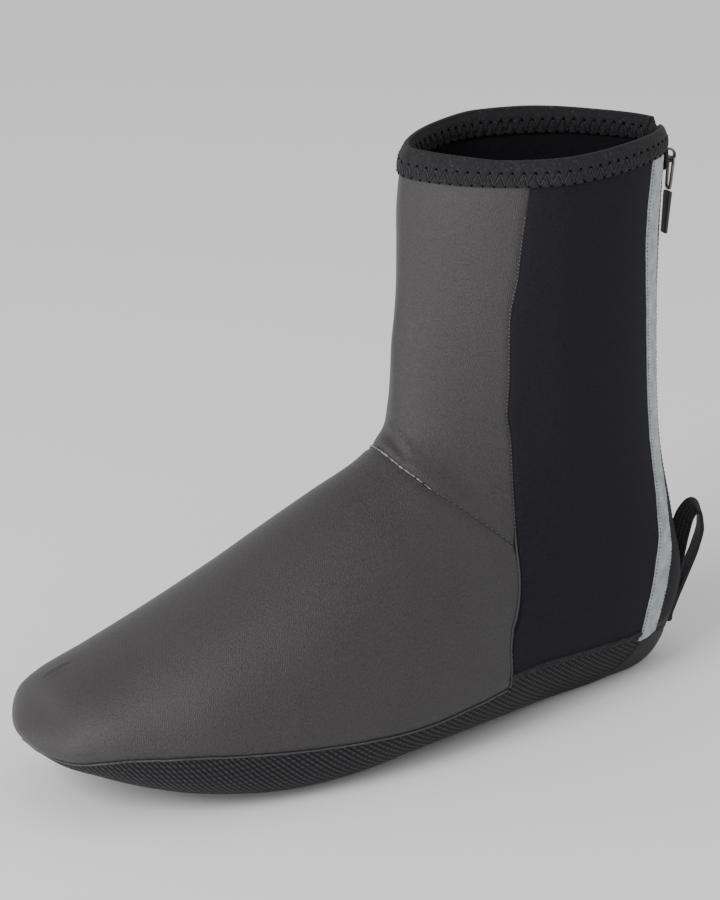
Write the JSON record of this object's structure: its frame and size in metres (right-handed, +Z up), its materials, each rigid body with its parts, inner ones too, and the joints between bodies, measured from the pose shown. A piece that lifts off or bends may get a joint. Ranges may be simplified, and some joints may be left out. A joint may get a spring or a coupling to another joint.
{
  "type": "cycling overshoe",
  "caption": "Tall neoprene cycling overshoe for a left foot, with a ribbed sole open under cleat and heel, bound collar, rear zip between reflective strips and a heel pull loop.",
  "frame": {"origin": "on the floor under the flat spot of the heel, in the plane of the zip", "axes": "+X to the toe, +Y to the wearer's left, which is the outer side of this left shoe, +Z up"},
  "size_m": [0.2956, 0.1012, 0.2233],
  "materials": {
    "coated_grey": "coated neoprene, soft sheen",
    "ribbed_black": "ribbed, matt",
    "fabric_black": "woven, matt",
    "reflective": "silver reflective tape, satin",
    "metal": "satin",
    "moulded": "moulded, matt"
  },
  "bodies": {
    "overshoe": {"upper": "coated_grey", "sole": "ribbed_black", "collar_binding": "fabric_black", "reflective_strip_left": "reflective", "reflective_strip_right": "reflective", "zip_tape_left": "fabric_black", "zip_tape_right": "fabric_black", "zip_chain": "moulded", "zip_slider": "metal", "heel_tape": "fabric_black", "heel_loop": "fabric_black"},
    "pull": {"zip_pull": "metal", "pull_grip": "moulded"}
  },
  "joints": [
    {"name": "pull_hinge", "type": "hinge", "parent": "overshoe", "child": "pull", "pos_m": [-0.0377, 0, 0.2042], "axis": [0, 1, 0], "range_deg": [0, 150]}
  ]
}
